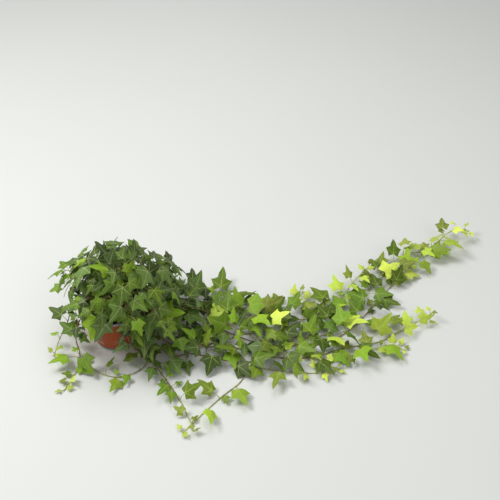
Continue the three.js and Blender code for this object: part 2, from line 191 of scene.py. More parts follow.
class Paint:
    def __init__(self, name):
        self.material = bpy.data.materials.new(name)
        self.material.use_nodes = True
        self.tree = self.material.node_tree
        self.shader = self.tree.nodes["Principled BSDF"]
        self.place = self.add("TexCoord").outputs["Object"]

    def fill(self, socket, value):
        if isinstance(value, bpy.types.NodeSocket):
            self.tree.links.new(value, socket)
        elif isinstance(value, tuple):
            socket.default_value = screenColour(*value)
        else:
            socket.default_value = value

    def add(self, kind, inputs=(), **settings):
        node = self.tree.nodes.new("ShaderNode" + kind)
        for name, value in settings.items():
            setattr(node, name, value)
        for socket, value in dict(inputs).items():
            self.fill(node.inputs[socket], value)
        return node

    def calc(self, operation, first, second=0.0):
        return self.add("Math", {0: first, 1: second}, operation=operation).outputs[0]

    def times(self, *pair):
        return self.calc("MULTIPLY", *pair)

    def plus(self, *pair):
        return self.calc("ADD", *pair)

    def minus(self, *pair):
        return self.calc("SUBTRACT", *pair)

    def most(self, *pair):
        return self.calc("MAXIMUM", *pair)

    # A value carried from one range to another, smoothly, and held at the ends.
    def ramp(self, value, low, high, atLow=0.0, atHigh=1.0):
        inputs = {0: value, 1: low, 2: high, 3: atLow, 4: atHigh}
        return self.add("MapRange", inputs, interpolation_type="SMOOTHSTEP").outputs[0]

    def mix(self, share, first, second):
        inputs = {0: share, 6: first, 7: second}
        return self.add("Mix", inputs, data_type="RGBA").outputs[2]

    # A colour covered by an ink where a mask is 1, as far as an amount.
    def cover(self, colour, mask, amount, ink):
        return self.mix(self.times(mask, amount), colour, ink)

    def colours(self, value, stops):
        node = self.add("ValToRGB", {0: value})
        elements = node.color_ramp.elements
        for _ in stops[2:]:
            elements.new(0.5)
        for element, (place, colour) in zip(elements, stops):
            element.position = place
            element.color = screenColour(*colour)
        return node.outputs[0]

    def split(self, vector):
        return self.add("SeparateXYZ", {0: vector}).outputs

    def noise(self, grain, detail=3.0, vector=None):
        inputs = {"Vector": vector or self.place, "Scale": 1 / grain, "Detail": detail}
        return self.add("TexNoise", inputs).outputs[0]

    def cells(self, grain, feature="F1", vector=None):
        inputs = {"Vector": vector or self.place, "Scale": 1 / grain}
        return self.add("TexVoronoi", inputs, feature=feature).outputs[0]

    # The value changed in tone and in hue by shares where 0.5 means no change.
    def vary(self, colour, tone, amount, hue=0.5, hueAmount=0.0):
        value = self.ramp(tone, 0.0, 1.0, 1 - amount, 1 + amount)
        turn = self.ramp(hue, 0.0, 1.0, 0.5 - hueAmount, 0.5 + hueAmount)
        return self.add("HueSaturation", {"Hue": turn, "Value": value, "Color": colour}).outputs[0]

    def finish(self, colour, roughness, height=None, bumpDepth=0.0002, bumpStrength=0.5, **fixed):
        self.fill(self.shader.inputs["Base Color"], colour)
        self.fill(self.shader.inputs["Roughness"], roughness)
        if height is not None:
            bump = self.add("Bump", {"Height": height, "Strength": bumpStrength, "Distance": bumpDepth})
            self.fill(self.shader.inputs["Normal"], bump.outputs[0])
        for name, value in fixed.items():
            self.shader.inputs[name.replace("_", " ")].default_value = value
        return self.material


# The camera, the light and the floor.

view = {
    "lens": 61.2,
    "sensor": 36,
    "place": (0.276, -1.183, 1.301),
    "tilt": 48,
    "floorSize": 60,
    "floorColour": (226, 228, 224),
    "skyColour": (248, 249, 247),
    "skyStrength": 0.3,
    "lights": {
        "keyLight": {"place": (-1.3, 0.1, 2.1), "aim": (0.25, 0, 0), "size": 0.9, "power": 38},
        "fillLight": {"place": (1.7, -1.5, 1.9), "aim": (0.3, 0, 0), "size": 2.2, "power": 13},
        "topLight": {"place": (0.2, 0.9, 2.6), "aim": (0.25, 0, 0), "size": 1.8, "power": 23},
    },
}


def floorPaint():
    paint = Paint("paleFloor")
    cloud = paint.noise(0.9)
    colour = paint.vary(view["floorColour"], cloud, 0.02)
    return paint.finish(colour, 0.75)


def setStage():
    camera = addToScene("camera", bpy.data.cameras.new("camera"))
    camera.data.lens = view["lens"]
    camera.data.sensor_width = view["sensor"]
    camera.location = view["place"]
    camera.rotation_euler = (math.radians(view["tilt"]), 0, 0)
    space.camera = camera

    world = bpy.data.worlds.new("studio")
    world.use_nodes = True
    sky = world.node_tree.nodes["Background"]
    sky.inputs["Color"].default_value = screenColour(*view["skyColour"])
    sky.inputs["Strength"].default_value = view["skyStrength"]
    space.world = world
    space.view_settings.view_transform = "Standard"

    for name, light in view["lights"].items():
        lamp = addToScene(name, bpy.data.lights.new(name, "AREA"))
        lamp.data.size = light["size"]
        lamp.data.energy = light["power"]
        lamp.location = light["place"]
        way = np.array(light["aim"]) - np.array(light["place"])
        flat = math.hypot(way[0], way[1])
        lamp.rotation_euler = (math.atan2(flat, -way[2]), 0, math.atan2(way[1], way[0]) - math.pi / 2)

    half = view["floorSize"] / 2
    corners = half * np.array([[-1, -1, 0], [1, -1, 0], [1, 1, 0], [-1, 1, 0]])
    floor = makeObject("floor", corners, [np.array([[0, 1, 2, 3]])], [floorPaint()])
    floor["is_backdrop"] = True


setStage()
print("camera, lights and floor set")

# The pot: a thin plastic nursery pot with a rolled rim and drain holes.

pot = {
    "height": 92 * mm,
    "rimRadius": 60 * mm,
    "rimOverhang": 2.4 * mm,
    "rimHeight": 4 * mm,
    "baseRadius": 40 * mm,
    "wall": 1 * mm,
    "floor": 1.4 * mm,
    "holes": 8,
    "holeRadius": 3.5 * mm,
    "holeCircle": 30 * mm,
    "holeRing": (23 * mm, 37 * mm),  # the ring of the underside that the holes are cut in
    "around": 128,
    "footRound": 1.2 * mm,
    "underRound": 0.6 * mm,
    "lipRound": 1.3 * mm,
    "lipInnerRound": 0.8 * mm,
    "crispAngle": 40,
    "colour": (150, 153, 152),
    "scuffColour": (188, 190, 188),
    "dustColour": (96, 86, 72),
    "dustHeight": 12 * mm,
    "turningMarks": 1.2 * mm,
}


# The wall's outside radius grows evenly from the base to the rim.
def wallRadius(z):
    slope = (pot["rimRadius"] - pot["rimOverhang"] - pot["baseRadius"]) / pot["height"]
    return pot["baseRadius"] + slope * np.asarray(z)


# A profile of radii and heights turned round the axis: each point is (r cos a, r sin a, z).
def turned(profile, around):
    profile = np.asarray(profile)
    angle = np.arange(around) * 2 * math.pi / around
    x, y = spun(profile[:, :1], 0, angle)
    return stack(x, y, profile[:, 1:]).reshape(-1, 3)


# An arc of a profile, between angles in degrees: centre + radius (cos a, sin a).
def profileArc(centre, radius, start, end, count):
    angle = np.radians(np.linspace(start, end, count))
    return stack(centre[0] + radius * np.cos(angle), centre[1] + radius * np.sin(angle))


# One plate of the underside at height z, in equal sectors with a hole each. A sector's points lie between
# its hole's edge and its own edge: (1 - share) hole + share edge, at matching steps round both.
def holedPlate(z, radii, facing):
    steps = pot["around"] // pot["holes"]
    half = math.pi / pot["holes"]
    inner, outer = radii
    across = np.linspace(-1, 1, steps + 1)
    up = np.linspace(inner, outer, 5)
    edgeRadius = join([np.full(steps, outer), up[:0:-1], np.full(steps, inner), up[:-1]])
    edgeAngle = half * join([-across[:-1], np.full(4, -1), across[:-1], np.full(4, 1)])
    edge = stack(edgeRadius * np.cos(edgeAngle), edgeRadius * np.sin(edgeAngle))
    middle = np.array([pot["holeCircle"], 0])
    hole = middle + pot["holeRadius"] * unit(edge - middle)
    share = np.linspace(0, 1, 4)[:, None, None]
    sector = (1 - share) * hole + share * edge
    turn = np.arange(pot["holes"])[:, None, None] * 2 * half
    x, y = spun(sector[..., 0], sector[..., 1], turn)
    points = stack(x, y, z)
    quads = gridQuads(4, edge.shape[0])[:, ::facing]
    return points, repeated([quads], pot["holes"], sector.shape[0] * sector.shape[1])[0]


# The pot's profile from the underside, round the rim and down the inside, as radii and heights.
def potPoints():
    height, rim, base = pot["height"], pot["rimRadius"], pot["baseRadius"]
    foot, tuck = pot["footRound"], pot["underRound"]
    lip, inner = pot["lipRound"], pot["lipInnerRound"]
    holeOut = pot["holeRing"][1]
    bottom = wallRadius(pot["floor"]) - pot["wall"] - tuck
    lipInside = wallRadius(height) - pot["wall"]
    under = height - pot["rimHeight"]
    levels = np.linspace(6 * mm, under - 1 * mm, 9)
    inside = np.linspace(height - 3 * mm, pot["floor"] + 2 * mm, 8)
    return join([
        [[holeOut, 0], [base - foot, 0]],
        profileArc((base - foot + 0.1 * mm, foot), foot, -80, 0, 5),
        stack(wallRadius(levels), levels),
        [[wallRadius(under), under - 0.2 * mm], [wallRadius(under) + 0.4 * mm, under]],
        [[rim - tuck - 0.3 * mm, under]],
        profileArc((rim - tuck, under + tuck + 0.1 * mm), tuck, -70, 0, 4),
        profileArc((rim - lip, height - lip), lip, 0, 90, 7),
        profileArc((lipInside + inner, height - inner), inner, 90, 180, 6),
        stack(wallRadius(inside) - pot["wall"], inside),
        [[bottom, pot["floor"]], [holeOut, pot["floor"]]],
    ])


def makePot(material):
    around = pot["around"]
    holeIn, holeOut = pot["holeRing"]
    profile = potPoints()
    shell = turned(profile, around)
    blocks = [gridQuads(len(profile), around)]
    points = [shell]
    base = len(shell)
    holes = []
    for z, facing in ((0, -1), (pot["floor"], 1)):
        plate, faces = holedPlate(z, (holeIn, holeOut), facing)
        blocks.append(faces + base)
        holes.append(base + np.arange(plate.size // 3).reshape(plate.shape[:3])[:, 0])
        points.append(plate.reshape(-1, 3))
        base += plate.size // 3
        disc = turned([[holeIn, z]], around)
        points.append(join([disc, [[0, 0, z]]]))
        blocks.append(fan(base + around, base + np.arange(around), facing))
        base += around + 1
    low, high = holes
    after = np.roll(low, -1, 1), np.roll(high, -1, 1)
    blocks.append(stack(low, after[0], after[1], high).reshape(-1, 4))
    everything = join(points)
    joined, index = np.unique(np.round(everything, 7), axis=0, return_inverse=True)
    blocks = [index.ravel()[block] for block in blocks]
    made = makeObject("nursery_pot", joined, blocks, [material])
    # edges that bend more than this stay crisp
    made.data.set_sharp_from_angle(angle=math.radians(pot["crispAngle"]))
    return made


def potPaint():
    paint = Paint("greyPotPlastic")
    z = paint.split(paint.place)[2]
    cloud = paint.noise(0.03)
    scuffs = paint.ramp(paint.noise(0.0016, 5.0), 0.56, 0.7)
    dust = paint.times(paint.ramp(z, 0.0, pot["dustHeight"], 1.0, 0.0), paint.noise(0.006))
    colour = paint.vary(pot["colour"], cloud, 0.07)
    colour = paint.cover(colour, scuffs, 0.3, pot["scuffColour"])
    colour = paint.cover(colour, dust, 0.5, pot["dustColour"])
    roughness = paint.ramp(cloud, 0.3, 0.7, 0.42, 0.58)
    rings = paint.calc("SINE", paint.times(z, 2 * math.pi / pot["turningMarks"]))
    height = paint.plus(paint.times(rings, 0.08), paint.noise(0.0009))
    return paint.finish(colour, roughness, height, 0.0001, 0.35)


standsFor(makePot(potPaint()), "pot", "pot")
print("pot made")

# The printed wrap round the pot, open at the back, with a window that the label sits in.

wrap = {
    "gap": 0.3 * mm,
    "thickness": 0.5 * mm,
    "low": 6 * mm,
    "high": 87.7 * mm,
    "seamWidth": 9 * mm,
    "labelTurn": -128,
    "labelWidth": 25 * mm,
    "labelLow": 33 * mm,
    "labelHigh": 60 * mm,
    "labelMargin": 0.6 * mm,
    "flatRadius": 50 * mm,  # the radius that turns are measured along for the print
    "planSize": 400 * mm,
    "printBlock": (1 * mm, 20.5 * mm, 27 * mm, 9.5 * mm),  # middle, height, width and depth of a pale block
    "printLines": [  # middle, height, width and depth of each line
        (1 * mm, 28.5 * mm, 27 * mm, 1.3 * mm),
        (52 * mm, 30 * mm, 30 * mm, 1.1 * mm),
        (48 * mm, 22.5 * mm, 22 * mm, 1.1 * mm),
        (-40 * mm, 22.5 * mm, 18 * mm, 1.1 * mm),
    ],
    # painted shade under the rim: between these heights the wrap darkens towards the top
    "rimShadeSpan": (20 * mm, 88 * mm),
    "labelFrame": 0.93,
    "labelMarks": [  # in shares of the label
        (0.45, 0.8, 0.62, 0.035),
        (0.51, 0.68, 0.74, 0.035),
        (0.39, 0.56, 0.5, 0.035),
        (0.72, 0.26, 0.26, 0.24),
    ],
    "labelSoft": 0.008,
    "colour": (188, 84, 34),
    # the colour of the painted shade under the rim
    "rimShadeColour": (126, 46, 14),
    "paleInk": (206, 150, 122),
    "lineInk": (196, 192, 186),
    "labelColour": (112, 118, 124),
    "labelInk": (186, 190, 190),
}
wrapOuter = wrap["gap"] + wrap["thickness"]
labelTurn = math.radians(wrap["labelTurn"])


# Where a cut of constant width, facing a turn, ends at each height: turn + side arcsin(width / 2 / radius).
def cutAngle(radius, width, turn, side):
    return turn + side * np.arcsin(width / 2 / radius)


# A sheet on the wrap's cone: (r cos a, r sin a, z), where r follows the height and a runs evenly between
# the bands' edges at that height.
def coneSheet(levels, bands, counts, grow):
    radius = wallRadius(levels) + grow
    share = [np.linspace(0, 1, count, endpoint=False) for count in counts]
    angles = [a[:, None] + (b - a)[:, None] * s for a, b, s in zip(bands[:-1], bands[1:], share)]
    angle = join([*angles, bands[-1][:, None]], 1)
    x, y = spun(radius[:, None], 0, angle)
    return stack(x, y, levels[:, None]), angle


def thicken(piece, thickness):
    solid = piece.modifiers.new("thickness", "SOLIDIFY")
    solid.thickness = thickness
    solid.offset = -1


def makeWrap(material):
    windowLow = wrap["labelLow"] - wrap["labelMargin"]
    windowHigh = wrap["labelHigh"] + wrap["labelMargin"]
    steps = 6
    ends = [wrap["low"], windowLow, windowHigh, wrap["high"]]
    levels = np.interp(np.arange(3 * steps + 1) / steps, range(4), ends)
    radius = wallRadius(levels) + wrapOuter
    seam = math.pi / 2
    bands = [
        cutAngle(radius, wrap["seamWidth"], seam - 2 * math.pi, 1),
        cutAngle(radius, wrap["labelWidth"], labelTurn, -1),
        cutAngle(radius, wrap["labelWidth"], labelTurn, 1),
        cutAngle(radius, wrap["seamWidth"], seam, -1),
    ]
    counts = [40, 10, 74]
    sheet, angle = coneSheet(levels, bands, counts, wrapOuter)
    rows, columns = angle.shape
    quads = gridQuads(rows, columns, closed=False).reshape(rows - 1, columns - 1, 4)
    keep = np.ones((rows - 1, columns - 1), bool)
    keep[steps : 2 * steps, counts[0] : counts[0] + counts[1]] = False
    quads = quads[keep]
    used, index = np.unique(quads, return_inverse=True)
    points = sheet.reshape(-1, 3)[used]
    piece = makeObject("pot_wrap_print", points, [index.reshape(-1, 4)], [material])
    # the print's plan: distance along the wrap from the label's middle, and height, both in shares
    along = (angle - labelTurn) * wrap["flatRadius"]
    plan = stack(along.ravel(), np.repeat(levels, columns))[used]
    addUvMap(piece.data, "printPlan", plan / wrap["planSize"] + 0.5)
    thicken(piece, wrap["thickness"])
    return piece


# A box as a mask, 1 inside and 0 outside, with edges this soft.
def printBox(paint, x, z, box, soft=0.0003):
    insides = []
    for at, middle, size in ((x, box[0], box[2]), (z, box[1], box[3])):
        apart = paint.calc("ABSOLUTE", paint.minus(at, middle))
        insides.append(paint.ramp(apart, size / 2 - soft, size / 2 + soft, 1.0, 0.0))
    return paint.times(*insides)


def wrapPaint():
    paint = Paint("printedWrap")
    plan = paint.split(paint.add("UVMap", uv_map="printPlan").outputs[0])
    x, z = [paint.times(paint.minus(plan[k], 0.5), wrap["planSize"]) for k in (0, 1)]
    grain = paint.noise(0.0011, 4.0)
    # the wrap darkening towards the top is painted shade under the pot's rim
    colour = paint.cover(wrap["colour"], paint.ramp(z, *wrap["rimShadeSpan"]), 0.55, wrap["rimShadeColour"])
    colour = paint.vary(colour, paint.noise(0.018), 0.12)
    colour = paint.vary(colour, grain, 0.08)
    colour = paint.cover(colour, printBox(paint, x, z, wrap["printBlock"]), 0.85, wrap["paleInk"])
    lines = 0.0
    for line in wrap["printLines"]:
        lines = paint.most(lines, printBox(paint, x, z, line))
    colour = paint.cover(colour, lines, 0.85, wrap["lineInk"])
    roughness = paint.ramp(paint.noise(0.006), 0.3, 0.7, 0.36, 0.5)
    return paint.finish(colour, roughness, grain, 0.00005, 0.3, Specular_IOR_Level=0.3)


def makeLabel(material):
    levels = np.linspace(wrap["labelLow"], wrap["labelHigh"], 15)
    radius = wallRadius(levels) + wrapOuter
    width = wrap["labelWidth"] - 2 * wrap["labelMargin"]
    bands = [cutAngle(radius, width, labelTurn, side) for side in (-1, 1)]
    sheet, angle = coneSheet(levels, bands, [14], wrapOuter)
    blocks = [gridQuads(*angle.shape, closed=False)]
    piece = makeObject("pot_label_plate", sheet.reshape(-1, 3), blocks, [material])
    rows, columns = [np.linspace(0, 1, count) for count in angle.shape]
    plan = np.stack(np.meshgrid(columns, rows), -1)
    addUvMap(piece.data, "labelPlan", plan.reshape(-1, 2))
    thicken(piece, wrap["thickness"])
    return piece


def labelPaint():
    paint = Paint("greyLabel")
    x, z, _ = paint.split(paint.add("UVMap", uv_map="labelPlan").outputs[0])
    grain = paint.noise(0.0008, 4.0)
    colour = paint.vary(wrap["labelColour"], paint.noise(0.005), 0.12)
    frame = (0.5, 0.5, wrap["labelFrame"], wrap["labelFrame"])
    marks = paint.minus(1.0, printBox(paint, x, z, frame, wrap["labelSoft"]))
    for mark in wrap["labelMarks"]:
        marks = paint.most(marks, printBox(paint, x, z, mark, wrap["labelSoft"]))
    colour = paint.cover(colour, marks, 0.8, wrap["labelInk"])
    return paint.finish(colour, 0.45, grain, 0.00004, 0.3)


standsFor(makeWrap(wrapPaint()), "pot_wrap", "wrap")
standsFor(makeLabel(labelPaint()), "pot_label", "label")
print("wrap and label made")

# The soil, and the loose bits of bark and white grit on it.

soil = {
    "edgeHeight": 81 * mm,
    "dome": 5 * mm,
    "gap": 0.4 * mm,
    "lump": 2.7 * mm,
    "lumpSizes": (9 * mm, 3.5 * mm),
    "fineLumps": 0.6,  # their height as a share of the big ones'
    "around": 112,
    "rings": 36,
    "bits": 260,
    "paleShare": 0.3,
    "bitSize": (0.9 * mm, 2.6 * mm),
    "bitSpread": 0.96,  # bits lie inside this share of the soil's radius
    "barkStretch": (0.3, 1.2),
    "gritStretch": (0.7, 1.0),
    "colours": [(0.3, (26, 17, 12)), (0.5, (58, 39, 26)), (0.66, (86, 61, 42)), (0.78, (112, 88, 64))],
    "barkColours": [(0.0, (44, 27, 18)), (0.6, (84, 52, 32)), (1.0, (124, 88, 58))],
    "gritColour": (214, 208, 194),
}
soilRadius = float(wallRadius(soil["edgeHeight"])) - pot["wall"] - soil["gap"]


# The soil's top: the dome, highest in the middle, with lumps that fade out at the edge.
def soilHeight(x, y):
    share = np.minimum(1, np.hypot(x, y) / soilRadius)
    big, fine = soil["lumpSizes"]
    rough = lumps(x, y, big, 5) + soil["fineLumps"] * lumps(x, y, fine, 6)
    return soil["edgeHeight"] + soil["dome"] * (1 - share**2) + soil["lump"] * rough * (1 - share**6)


def makeSoil(material):
    low = pot["floor"] + soil["gap"]
    levels = np.linspace(low, soil["edgeHeight"], 6)
    wall = stack(wallRadius(levels) - pot["wall"] - soil["gap"], levels)
    share = np.linspace(1, 0, soil["rings"] + 1)[1:-1]
    profile = join([wall, stack(soilRadius * share, np.zeros(len(share)))])
    points = turned(profile, soil["around"])
    top = slice(len(wall) * soil["around"], None)
    points[top, 2] = soilHeight(points[top, 0], points[top, 1])
    ends = np.array([[0, 0, low], [0, 0, soilHeight(0, 0)]])
    ring = np.arange(soil["around"])
    last = (len(profile) - 1) * soil["around"] + ring
    blocks = [gridQuads(len(profile), soil["around"]), fan(len(points), ring, -1), fan(len(points) + 1, last)]
    return makeObject("soil_top", join([points, ends]), blocks, [material])


# Small stones: balls of a few rings, (sin b cos a, sin b sin a, cos b), stretched, dented and turned.
def makeBits(material):
    chance = np.random.default_rng(11)
    count, rings, around = soil["bits"], 3, 7
    b = np.linspace(0, math.pi, rings + 2)[1:-1, None]
    a = np.arange(around) * 2 * math.pi / around
    ball = stack(np.sin(b) * np.cos(a), np.sin(b) * np.sin(a), np.cos(b)).reshape(-1, 3)
    ball = join([ball, [[0, 0, 1], [0, 0, -1]]])
    pale = chance.uniform(size=count) < soil["paleShare"]
    size = chance.uniform(*soil["bitSize"], count)
    grit = chance.uniform(*soil["gritStretch"], (count, 3))
    bark = chance.uniform(*soil["barkStretch"], (count, 3))
    stretch = np.where(pale[:, None], grit, bark)
    dents = chance.uniform(0.8, 1.15, (count, len(ball), 1))
    turn = chance.uniform(0, 2 * math.pi, count)
    radius = soilRadius * soil["bitSpread"] * np.sqrt(chance.uniform(size=count))
    where = chance.uniform(0, 2 * math.pi, count)
    centre = stack(radius * np.cos(where), radius * np.sin(where))
    local = ball * dents * (size[:, None] * stretch)[:, None]
    x, y = spun(local[..., 0], local[..., 1], turn[:, None])
    ground = soilHeight(centre[:, 0], centre[:, 1])
    z = local[..., 2] + ground[:, None] + 0.1 * size[:, None]
    points = stack(x + centre[:, :1], y + centre[:, 1:], z)
    each = len(ball)
    last = (rings - 1) * around + np.arange(around)
    blocks = [gridQuads(rings, around)[:, ::-1], fan(each - 2, np.arange(around)), fan(each - 1, last, -1)]
    piece = makeObject("soil_bits", points.reshape(-1, 3), repeated(blocks, count, each), [material])
    tone = stack(pale.astype(float), chance.uniform(size=count), np.zeros(count))
    addTone(piece.data, "bitTone", np.repeat(tone, each, 0))
    return piece


def soilPaint():
    paint = Paint("pottingSoil")
    coarse = paint.noise(0.004, 6.0)
    crumbs = paint.cells(0.0016)
    colour = paint.colours(coarse, soil["colours"])
    colour = paint.vary(colour, crumbs, 0.35)
    height = paint.plus(coarse, paint.times(crumbs, 0.6))
    return paint.finish(colour, 0.92, height, 0.0012, 0.9)


def bitPaint():
    paint = Paint("barkAndGrit")
    tone = paint.split(paint.add("Attribute", attribute_name="bitTone").outputs["Vector"])
    grain = paint.noise(0.0007, 4.0)
    bark = paint.colours(tone[1], soil["barkColours"])
    colour = paint.mix(tone[0], bark, soil["gritColour"])
    colour = paint.vary(colour, grain, 0.25)
    return paint.finish(colour, 0.85, grain, 0.0003, 0.8)


standsFor(makeSoil(soilPaint()), "soil", "soil")
standsFor(makeBits(bitPaint()), "soil", "soil")
print("soil made")

# The vines. Each CAD vine is read for its stem and its leaves, and grown again finer.

vine = {
    "stemRadius": 1.3 * mm,  # of the CAD stem, to its corners
    "stalkWidth": 1.3 * mm,  # of a CAD leaf stalk where it meets its blade
    "lateral": (0.56, 0.3),  # the CAD blade's side corner, in shares of its length
    "closestRings": 4 * mm,
    "sameSize": 0.02 * mm,  # measures this near are taken as equal
    "sameMiddle": 0.08 * mm,
    "stemSteps": 5,  # between two of the CAD stem's rings
    "stemSides": 8,
    "stemThick": (1.25 * mm, 0.75 * mm),  # radius at the root and at the tip
    "nodeSwell": 0.45 * mm,
    "swellReach": 2.2 * mm,
    "rootDepth": 3 * mm,
    "stalkSteps": 6,
    "stalkSides": 5,
    "stalkThick": (0.72 * mm, 0.5 * mm),  # radius at the stem and at the blade
    "stalkArch": 0.1,
}

leaf = {
    # right half of the blade's edge from the notch to the tip, in shares of its breadth and length
    "edge": [
        (0.13, -0.11),
        (0.33, -0.17),
        (0.42, 0.06),
        (0.6, 0.33),
        (0.37, 0.37),
        (0.215, 0.46),
        (0.18, 0.66),
        (0.085, 0.87),
    ],
    "notch": -0.025,
    "innerRing": 0.52,
    "thickness": 0.35 * mm,
    "lowest": 0.4 * mm,  # a blade's middle plane stays this far above the ground
    "bulge": 0.022,
    "curl": 0.03,
    "wave": 0.014,
    "lobeSpread": 0.1,
    "edgeSpread": 0.03,
    "twist": 0.12,
    "curlSpread": (0.2, 1.2),
    "midrib": (0.0, 1.0),
    "midribWidth": 0.034,
    "sideVeins": {3: 0.028, 1: 0.022},  # the width of the vein to each of the edge's points
    "ribPitch": 0.065,
    "ribSlant": 0.8,
    "planScale": 0.75,
    "planShift": (0.5, 0.2),
}


# A CAD node's corners joined where they coincide, and its triangles.
def joinedMesh(node):
    mesh = node.data
    corners = np.empty(len(mesh.vertices) * 3)
    mesh.vertices.foreach_get("co", corners)
    points, index = np.unique(np.round(corners.reshape(-1, 3), 7), axis=0, return_inverse=True)
    return points, index.ravel()[cornerIndex(mesh)].reshape(-1, 3)


# A mesh's edges, each in both directions.
def edgesOf(triangles):
    edges = join([triangles[:, [0, 1]], triangles[:, [1, 2]], triangles[:, [2, 0]]])
    return join([edges, edges[:, ::-1]])


# The blades in a vine's mesh. A blade's top is a point with nine triangles round it, whose ring of corners
# starts and ends at the stalk; under it lies the blade's other middle point.
def findBlades(points, triangles):
    count = np.bincount(triangles.ravel(), minlength=len(points))
    neighbour = {(own[k - 2], own[k - 1]): own[k] for own in triangles.tolist() for k in range(3)}
    rings, tops, unders = [], [], []
    for top in np.flatnonzero(count == 9).tolist():
        own = triangles[(triangles == top).any(1)]
        turn = (own == top).argmax(1)
        start = own[np.arange(9), (turn + 1) % 3]
        end = own[np.arange(9), (turn + 2) % 3]
        width = np.linalg.norm(points[start] - points[end], axis=1)
        stalk = width.argmin()
        if abs(width[stalk] - vine["stalkWidth"]) > vine["sameSize"]:
            continue
        following = dict(zip(start.tolist(), end.tolist()))
        ring = [int(end[stalk])]
        while len(ring) < 9 and ring[-1] in following:
            ring.append(following[ring[-1]])
        under = neighbour.get((ring[1], ring[0]))
        if len(set(ring)) == 9 and ring[-1] == start[stalk] and under is not None:
            rings.append(ring)
            tops.append(top)
            unders.append(under)
    return np.array(rings), np.array(tops), np.array(unders)


# The blades' own axes and bends, worked back from the CAD blade: base + side x + along y
# - normal (droop y^2 + fold |x|), all in lengths.
def measureBlades(points, rings, tops, unders):
    right, left, tip = points[rings[:, 0]], points[rings[:, 8]], points[rings[:, 4]]
    base = (right + left) / 2
    side = unit(right - left)
    normal = unit(points[tops] - points[unders])
    reach = tip - base
    droop = -np.einsum("ij,ij->i", reach, normal)
    along = reach + droop[:, None] * normal
    length = np.linalg.norm(along, axis=1)
    sideRight, sideLeft = points[rings[:, 2]], points[rings[:, 6]]
    x, y = vine["lateral"]
    breadth = np.linalg.norm(sideRight - sideLeft, axis=1) / (2 * x)
    sunk = -np.einsum("ij,ij->i", (sideRight + sideLeft) / 2 - base, normal)
    fold = (sunk - droop * y * y) / x
    return {"base": base, "side": side, "along": along / length[:, None], "normal": normal, "length": length,
            "breadth": breadth, "droop": droop, "fold": fold}


# The stem's middle line. The CAD stem is a square tube, so two corners a whole width apart with the same
# middle as another such pair are one of its rings; rings are put in order along the mesh from the root.
def findStem(points, triangles, isBlade):
    isStem = ~isBlade
    own = np.flatnonzero(isStem)
    apart = np.linalg.norm(points[own][:, None] - points[own][None], axis=-1)
    first, second = np.nonzero(np.triu(np.abs(apart - 2 * vine["stemRadius"]) < vine["sameSize"]))
    middles = (points[own[first]] + points[own[second]]) / 2
    same = np.linalg.norm(middles[:, None] - middles[None], axis=-1) < vine["sameMiddle"]
    isRing = same.sum(1) >= 2
    label = np.where(isRing, same.argmax(1), -1)
    edges = edgesOf(triangles)
    edges = edges[isStem[edges].all(1)]
    lengths = np.linalg.norm(points[edges[:, 0]] - points[edges[:, 1]], axis=1)

    def reachFrom(start):
        reach = np.full(len(points), np.inf)
        reach[start] = 0
        while True:
            better = reach.copy()
            np.minimum.at(better, edges[:, 1], reach[edges[:, 0]] + lengths)
            if np.array_equal(better, reach):
                return reach
            reach = better

    def farthest(reach):
        return own[np.where(np.isfinite(reach[own]), reach[own], -1).argmax()]

    oneEnd = farthest(reachFrom(own[0]))
    otherEnd = farthest(reachFrom(oneEnd))
    root = min((oneEnd, otherEnd), key=lambda end: math.hypot(points[end, 0], points[end, 1]))
    reach = reachFrom(root)
    rings = np.unique(label[label >= 0])
    key = np.array([reach[own[first[label == ring]]].mean() for ring in rings])
    centres = np.array([middles[label == ring].mean(0) for ring in rings])[key.argsort()]
    gap = np.linalg.norm(np.diff(centres, axis=0), axis=1)
    return centres[join([[True], gap > vine["closestRings"]])]


# One line of points through given corners. Between b and c, with a before and d after, the point at share
# t is b + t (c - a) / 2 + t^2 (a - 5b/2 + 2c - d/2) + t^3 ((d - a) / 2 + 3 (b - c) / 2).
def smoothLine(corners, steps):
    a = join([2 * corners[:1] - corners[1:2], corners[:-2]])[:, None]
    b, c = corners[:-1, None], corners[1:, None]
    d = join([corners[2:], 2 * corners[-1:] - corners[-2:-1]])[:, None]
    t = (np.arange(steps) / steps)[None, :, None]
    line = b + t * (c - a) / 2 + t**2 * (a - 2.5 * b + 2 * c - d / 2)
    line = line + t**3 * ((d - a) / 2 + 1.5 * (b - c))
    return join([line.reshape(-1, 3), corners[-1:]])


# Round tubes along lines: each point is line + radius (u cos a + v sin a), where u is carried along the line
# and kept square to it, and v is square to both. Rows are steps; a flat face closes each end.
def tubes(lines, radii, sides):
    count, steps = lines.shape[:2]
    way = unit(np.gradient(lines, axis=1))
    u = np.empty_like(lines)
    u[:, 0] = unit(np.cross(way[:, 0], [0.35, 0.2, 0.91]))
    for step in range(1, steps):
        u[:, step] = squareTo(u[:, step - 1], way[:, step])
    v = np.cross(way, u)
    a = np.arange(sides) * 2 * math.pi / sides
    circle = u[:, :, None] * np.cos(a)[:, None] + v[:, :, None] * np.sin(a)[:, None]
    points = lines[:, :, None] + radii[..., None, None] * circle
    ring = np.arange(sides)[None]
    blocks = [gridQuads(steps, sides), ring[:, ::-1], ring + (steps - 1) * sides]
    return points.reshape(-1, 3), repeated(blocks, count, steps * sides)


# A blade's edge and its inner ring in leaf shares, for every leaf at once: (leaves, rings, points, 2).
def bladePlans(chance, count):
    right = np.array(leaf["edge"])
    spread = 1 + leaf["lobeSpread"] * chance.uniform(-1, 1, (count, 1))
    waist = 1 + leaf["lobeSpread"] * chance.uniform(-1, 1, (count, 1, 1))
    half = np.repeat(right[None], count, 0)
    half[:, 2:4, 0] *= spread
    half[:, 4:6] *= waist
    other = half[:, ::-1] * [-1, 1]
    tip = np.tile([0.0, 1.0], (count, 1, 1))
    notch = np.tile([0.0, leaf["notch"]], (count, 1, 1))
    edge = join([half, tip, other, notch], 1)
    edge = edge * (1 + leaf["edgeSpread"] * chance.uniform(-1, 1, (count, edge.shape[1], 1)))
    return np.stack([edge * leaf["innerRing"], edge], 1)


